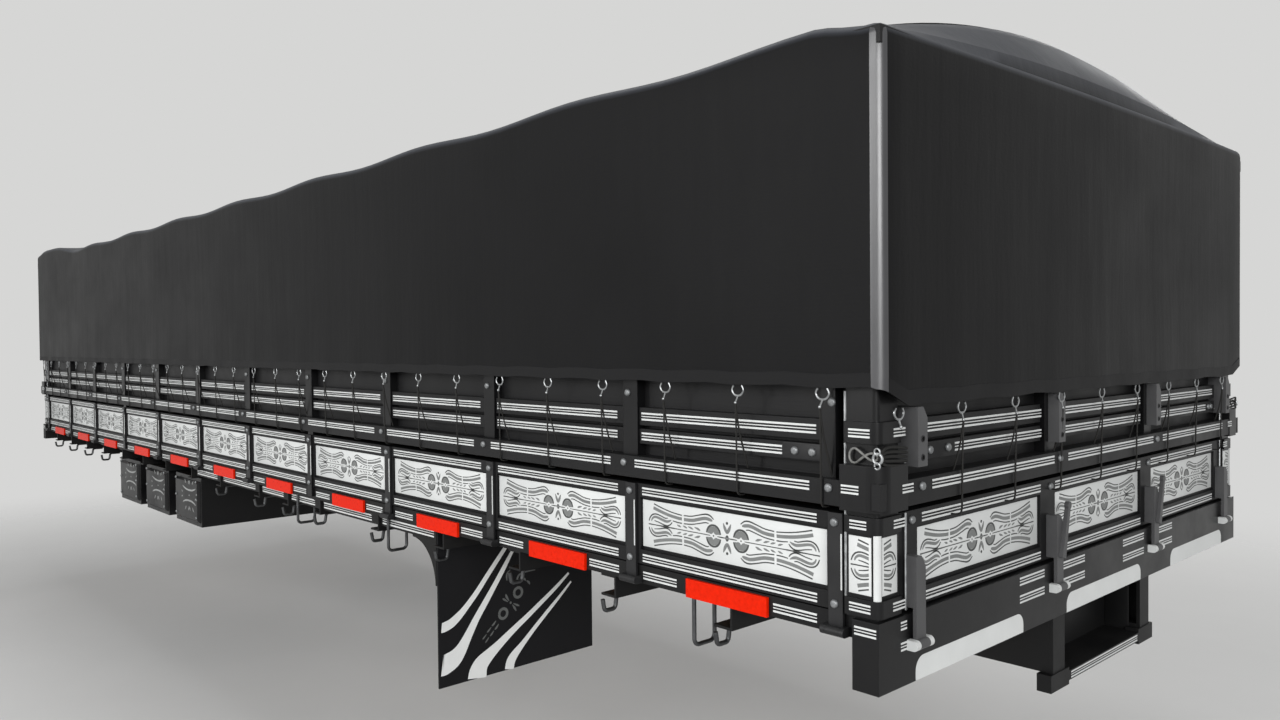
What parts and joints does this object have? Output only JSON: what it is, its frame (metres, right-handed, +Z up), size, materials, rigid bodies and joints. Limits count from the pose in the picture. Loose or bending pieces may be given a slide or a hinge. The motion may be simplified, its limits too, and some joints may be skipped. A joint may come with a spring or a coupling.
{
  "type": "truck load body",
  "caption": "Long load bed for a grain truck: boarded drop gates and tailgate, tall stakes and a tarpaulin over hoops, with toolboxes and flaps below.",
  "frame": {"origin": "centre of the bolted seat where the two longitudinal runners lie on the chassis, at mid length", "axes": "+X forward along the bed, +Y to the left side, +Z up"},
  "size_m": [8.077, 2.52, 2.202],
  "materials": {
    "frame_steel": "black chassis paint, half gloss",
    "wall_paint": "black enamel, glossy",
    "iron_paint": "black enamel on forged iron, half gloss",
    "pale_trim": "pale grey enamel, half gloss",
    "zinc": "bright zinc plating",
    "box_paint": "black enamel with pale ornament, half gloss",
    "wall_boards": "tongued boards painted black",
    "gate_boards": "boards painted black with pale ornament",
    "floor_boards": "worn bare planks",
    "tarpaulin": "coated cloth, dull sheen",
    "reflector": "red moulded reflector",
    "flap_rubber": "black rubber sheet"
  },
  "bodies": {
    "bed": {"corner_bars": "pale_trim", "corner_posts": "wall_paint", "cross_members": "frame_steel", "flap_gussets": "frame_steel", "floor": "floor_boards", "front_beam": "frame_steel", "gate_hinges": "iron_paint", "gate_posts": "wall_paint", "headboard": "wall_boards", "longitudinal_runners": "frame_steel", "mudflaps": "flap_rubber", "rear_arch_plates": "pale_trim", "rear_beam": "wall_paint", "rear_keeper_plates": "iron_paint", "reflectors": "reflector", "rope_hooks": "zinc", "side_sills": "frame_steel", "stakes": "wall_paint", "stirrups": "zinc", "tailgate_clevises": "pale_trim", "tarp": "tarpaulin", "tarp_hoops": "frame_steel", "toolboxes": "box_paint", "top_frame": "frame_steel", "underrun": "frame_steel", "upper_wall_left": "wall_boards", "upper_wall_rear": "wall_boards", "upper_wall_right": "wall_boards", "wheel_rails": "frame_steel"},
    "side_gate_left_rear": {"gate_left_rear": "gate_boards", "gate_straps_left_rear": "iron_paint"},
    "side_gate_left_middle": {"gate_left_middle": "gate_boards", "gate_straps_left_middle": "iron_paint"},
    "side_gate_left_front": {"gate_left_front": "gate_boards", "gate_straps_left_front": "iron_paint"},
    "side_gate_right_rear": {"gate_right_rear": "gate_boards", "gate_straps_right_rear": "iron_paint"},
    "side_gate_right_middle": {"gate_right_middle": "gate_boards", "gate_straps_right_middle": "iron_paint"},
    "side_gate_right_front": {"gate_right_front": "gate_boards", "gate_straps_right_front": "iron_paint"},
    "rear_gate": {"tailgate": "gate_boards", "tailgate_plates": "iron_paint", "tailgate_levers": "iron_paint"}
  },
  "joints": [
    {"name": "gate_hinge_left_rear", "type": "hinge", "parent": "bed", "child": "side_gate_left_rear", "pos_m": [0, 1.238, 0.284], "axis": [-1, 0, 0], "range_deg": [0, 180]},
    {"name": "gate_hinge_left_middle", "type": "hinge", "parent": "bed", "child": "side_gate_left_middle", "pos_m": [0, 1.238, 0.284], "axis": [-1, 0, 0], "range_deg": [0, 180]},
    {"name": "gate_hinge_left_front", "type": "hinge", "parent": "bed", "child": "side_gate_left_front", "pos_m": [0, 1.238, 0.284], "axis": [-1, 0, 0], "range_deg": [0, 180]},
    {"name": "gate_hinge_right_rear", "type": "hinge", "parent": "bed", "child": "side_gate_right_rear", "pos_m": [0, -1.238, 0.284], "axis": [1, 0, 0], "range_deg": [0, 180]},
    {"name": "gate_hinge_right_middle", "type": "hinge", "parent": "bed", "child": "side_gate_right_middle", "pos_m": [0, -1.238, 0.284], "axis": [1, 0, 0], "range_deg": [0, 180]},
    {"name": "gate_hinge_right_front", "type": "hinge", "parent": "bed", "child": "side_gate_right_front", "pos_m": [0, -1.238, 0.284], "axis": [1, 0, 0], "range_deg": [0, 180]},
    {"name": "tailgate_hinge", "type": "hinge", "parent": "bed", "child": "rear_gate", "pos_m": [-4.029, 0, 0.254], "axis": [0, -1, 0], "range_deg": [0, 180]}
  ]
}
